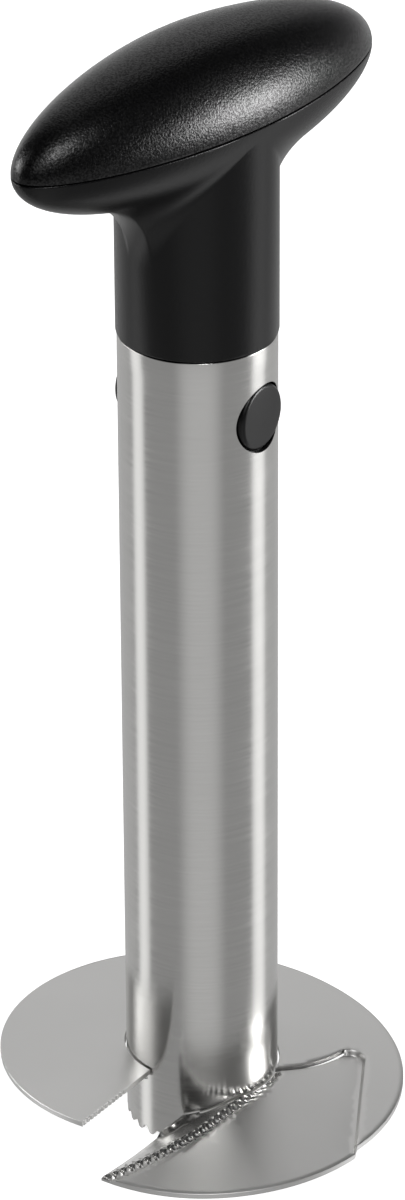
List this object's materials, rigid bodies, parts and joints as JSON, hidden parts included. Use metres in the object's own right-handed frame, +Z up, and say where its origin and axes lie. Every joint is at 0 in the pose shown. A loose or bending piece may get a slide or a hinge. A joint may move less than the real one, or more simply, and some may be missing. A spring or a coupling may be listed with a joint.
{
  "type": "pineapple slicer",
  "caption": "Hand-turned pineapple slicer and corer: a toothed steel tube, a climbing slit slicing blade with a fluted cutting tongue, and a T-shaped lift-off handle locked by sprung buttons.",
  "frame": {"origin": "on the core tube's axis, at the level of the tips of its foot teeth", "axes": "+Z up the tube towards the handle, +X out through the front release button, Y almost along the grip, whose long side is turned 8 degrees from it"},
  "size_m": [0.0854, 0.097, 0.2479],
  "materials": {
    "tube_steel": "brushed stainless steel",
    "blade_steel": "satin stainless steel",
    "handle_plastic": "fine-grained black plastic",
    "button_plastic": "smooth black plastic",
    "plug_plastic": "moulded black plastic",
    "fastener_steel": "bright plated steel"
  },
  "bodies": {
    "slicer": {"core_tube": "tube_steel", "slicing_blade": "blade_steel", "weld_tack_1": "blade_steel", "weld_tack_2": "blade_steel", "weld_tack_3": "blade_steel", "weld_tack_4": "blade_steel", "handle_base": "handle_plastic", "handle_cover": "handle_plastic", "cover_screw_left": "fastener_steel", "cover_screw_right": "fastener_steel", "handle_screw": "fastener_steel", "plug_body": "plug_plastic", "plug_cap": "plug_plastic", "button_spring_front": "fastener_steel", "button_spring_back": "fastener_steel"},
    "button_front": {"release_button_front": "button_plastic"},
    "button_back": {"release_button_back": "button_plastic"}
  },
  "joints": [
    {"name": "front_button_press", "type": "slide", "parent": "slicer", "child": "button_front", "axis": [-1, 0, 0], "range_m": [0, 0.0028], "stiffness_N_per_m": 600, "springref_m": -0.003, "deforming": ["button_spring_front"]},
    {"name": "back_button_press", "type": "slide", "parent": "slicer", "child": "button_back", "axis": [1, 0, 0], "range_m": [0, 0.0028], "stiffness_N_per_m": 600, "springref_m": -0.003, "deforming": ["button_spring_back"]}
  ]
}
